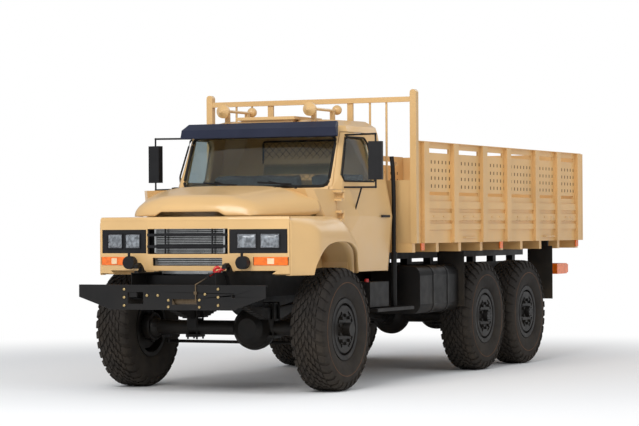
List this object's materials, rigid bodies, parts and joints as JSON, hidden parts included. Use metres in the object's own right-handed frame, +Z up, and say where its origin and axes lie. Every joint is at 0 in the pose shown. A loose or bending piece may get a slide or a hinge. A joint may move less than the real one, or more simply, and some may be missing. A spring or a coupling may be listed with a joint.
{
  "type": "six-wheel military cargo truck",
  "caption": "Bonneted military cargo truck with all-wheel drive, opening doors, bonnet, roof hatch and tailgate, and a slatted load bed.",
  "frame": {"origin": "on the ground at the middle of the truck's overall box", "axes": "forward is -Y, the vehicle's left is +X, +Z is up"},
  "size_m": [2.5016, 7.832, 2.8429],
  "materials": {
    "sand_paint": "gloss sand paint",
    "bed_paint": "satin sand paint",
    "chassis_black": "satin black paint",
    "wheel_black": "satin black paint",
    "tyre_rubber": "matte",
    "window_glass": "clear",
    "lamp_glass": "clear ribbed",
    "signal_plastic": "translucent orange",
    "visor_paint": "satin dark blue",
    "seat_fabric": "woven",
    "black_plastic": "matte",
    "cast_metal": "cast",
    "radiator_metal": "finned",
    "flap_rubber": "matte"
  },
  "bodies": {
    "chassis": {"frame_rails": "chassis_black", "front_bumper": "chassis_black", "tow_hooks": "chassis_black", "winch": "chassis_black", "engine": "cast_metal", "gearbox": "cast_metal", "prop_shafts": "chassis_black", "front_springs": "chassis_black", "rear_springs": "chassis_black", "front_axle": "chassis_black", "rear_axles": "chassis_black", "radiator": "radiator_metal", "fuel_tank": "chassis_black", "battery_box": "chassis_black", "mudflaps": "flap_rubber", "tail_lamps": "chassis_black", "cab_shell": "sand_paint", "fenders": "sand_paint", "fascia": "sand_paint", "headlamps": "lamp_glass", "signal_lamps": "signal_plastic", "cab_glass": "window_glass", "seats": "seat_fabric", "dashboard": "black_plastic", "steering_wheel": "black_plastic", "wipers": "black_plastic", "visor": "visor_paint", "roof_trumpets": "sand_paint", "bed_floor": "bed_paint", "bed_sides": "bed_paint", "headboard": "sand_paint", "hinges": "sand_paint", "intake_pipe": "black_plastic"},
    "steer_left": {"knuckle_left": "chassis_black"},
    "steer_right": {"knuckle_right": "chassis_black"},
    "tie_rod": {"tie_rod": "chassis_black"},
    "road_wheel_front_left": {"tyre_front_left": "tyre_rubber", "wheel_front_left": "wheel_black"},
    "road_wheel_front_right": {"tyre_front_right": "tyre_rubber", "wheel_front_right": "wheel_black"},
    "road_wheel_mid_left": {"tyre_mid_left": "tyre_rubber", "wheel_mid_left": "wheel_black"},
    "road_wheel_mid_right": {"tyre_mid_right": "tyre_rubber", "wheel_mid_right": "wheel_black"},
    "road_wheel_rear_left": {"tyre_rear_left": "tyre_rubber", "wheel_rear_left": "wheel_black"},
    "road_wheel_rear_right": {"tyre_rear_right": "tyre_rubber", "wheel_rear_right": "wheel_black"},
    "door_left": {"door_left": "sand_paint", "door_glass_left": "window_glass", "mirror_left": "black_plastic"},
    "door_right": {"door_right": "sand_paint", "door_glass_right": "window_glass", "mirror_right": "black_plastic"},
    "bonnet": {"bonnet": "sand_paint"},
    "roof_hatch": {"roof_hatch": "sand_paint"},
    "tailgate": {"tailgate": "bed_paint"}
  },
  "joints": [
    {"name": "steer_left", "type": "hinge", "parent": "chassis", "child": "steer_left", "pos_m": [0.86, -2.7, 0.564], "axis": [0, 0, 1], "range_deg": [-28, 28]},
    {"name": "steer_right", "type": "hinge", "parent": "chassis", "child": "steer_right", "pos_m": [-0.86, -2.7, 0.564], "axis": [0, 0, 1], "range_deg": [-28, 28]},
    {"name": "tie_rod_pivot", "type": "hinge", "parent": "steer_left", "child": "tie_rod", "pos_m": [0.815, -2.465, 0.469], "axis": [0, 0, 1], "range_deg": [-28, 28]},
    {"name": "roll_front_left", "type": "hinge", "parent": "steer_left", "child": "road_wheel_front_left", "pos_m": [1.01, -2.7, 0.564], "axis": [1, 0, 0], "continuous": true},
    {"name": "roll_front_right", "type": "hinge", "parent": "steer_right", "child": "road_wheel_front_right", "pos_m": [-1.01, -2.7, 0.564], "axis": [1, 0, 0], "continuous": true},
    {"name": "roll_mid_left", "type": "hinge", "parent": "chassis", "child": "road_wheel_mid_left", "pos_m": [1.01, 0.8, 0.564], "axis": [1, 0, 0], "continuous": true},
    {"name": "roll_mid_right", "type": "hinge", "parent": "chassis", "child": "road_wheel_mid_right", "pos_m": [-1.01, 0.8, 0.564], "axis": [1, 0, 0], "continuous": true},
    {"name": "roll_rear_left", "type": "hinge", "parent": "chassis", "child": "road_wheel_rear_left", "pos_m": [1.01, 2.05, 0.564], "axis": [1, 0, 0], "continuous": true},
    {"name": "roll_rear_right", "type": "hinge", "parent": "chassis", "child": "road_wheel_rear_right", "pos_m": [-1.01, 2.05, 0.564], "axis": [1, 0, 0], "continuous": true},
    {"name": "door_left_hinge", "type": "hinge", "parent": "chassis", "child": "door_left", "pos_m": [1.002, -2.402, 1.475], "axis": [0, 0, -1], "range_deg": [0, 65]},
    {"name": "door_right_hinge", "type": "hinge", "parent": "chassis", "child": "door_right", "pos_m": [-1.002, -2.402, 1.475], "axis": [0, 0, 1], "range_deg": [0, 65]},
    {"name": "bonnet_hinge", "type": "hinge", "parent": "chassis", "child": "bonnet", "pos_m": [0, -2.85, 1.868], "axis": [-1, 0, 0], "range_deg": [0, 50]},
    {"name": "hatch_hinge", "type": "hinge", "parent": "chassis", "child": "roof_hatch", "pos_m": [0, -1.378, 2.541], "axis": [-1, 0, 0], "range_deg": [0, 80]},
    {"name": "tailgate_hinge", "type": "hinge", "parent": "chassis", "child": "tailgate", "pos_m": [0, 3.902, 1.313], "axis": [-1, 0, 0], "range_deg": [0, 170]}
  ],
  "couplings": [
    {"joint": "steer_right", "follows": "steer_left", "ratio": 1},
    {"joint": "tie_rod_pivot", "follows": "steer_left", "ratio": -1}
  ]
}
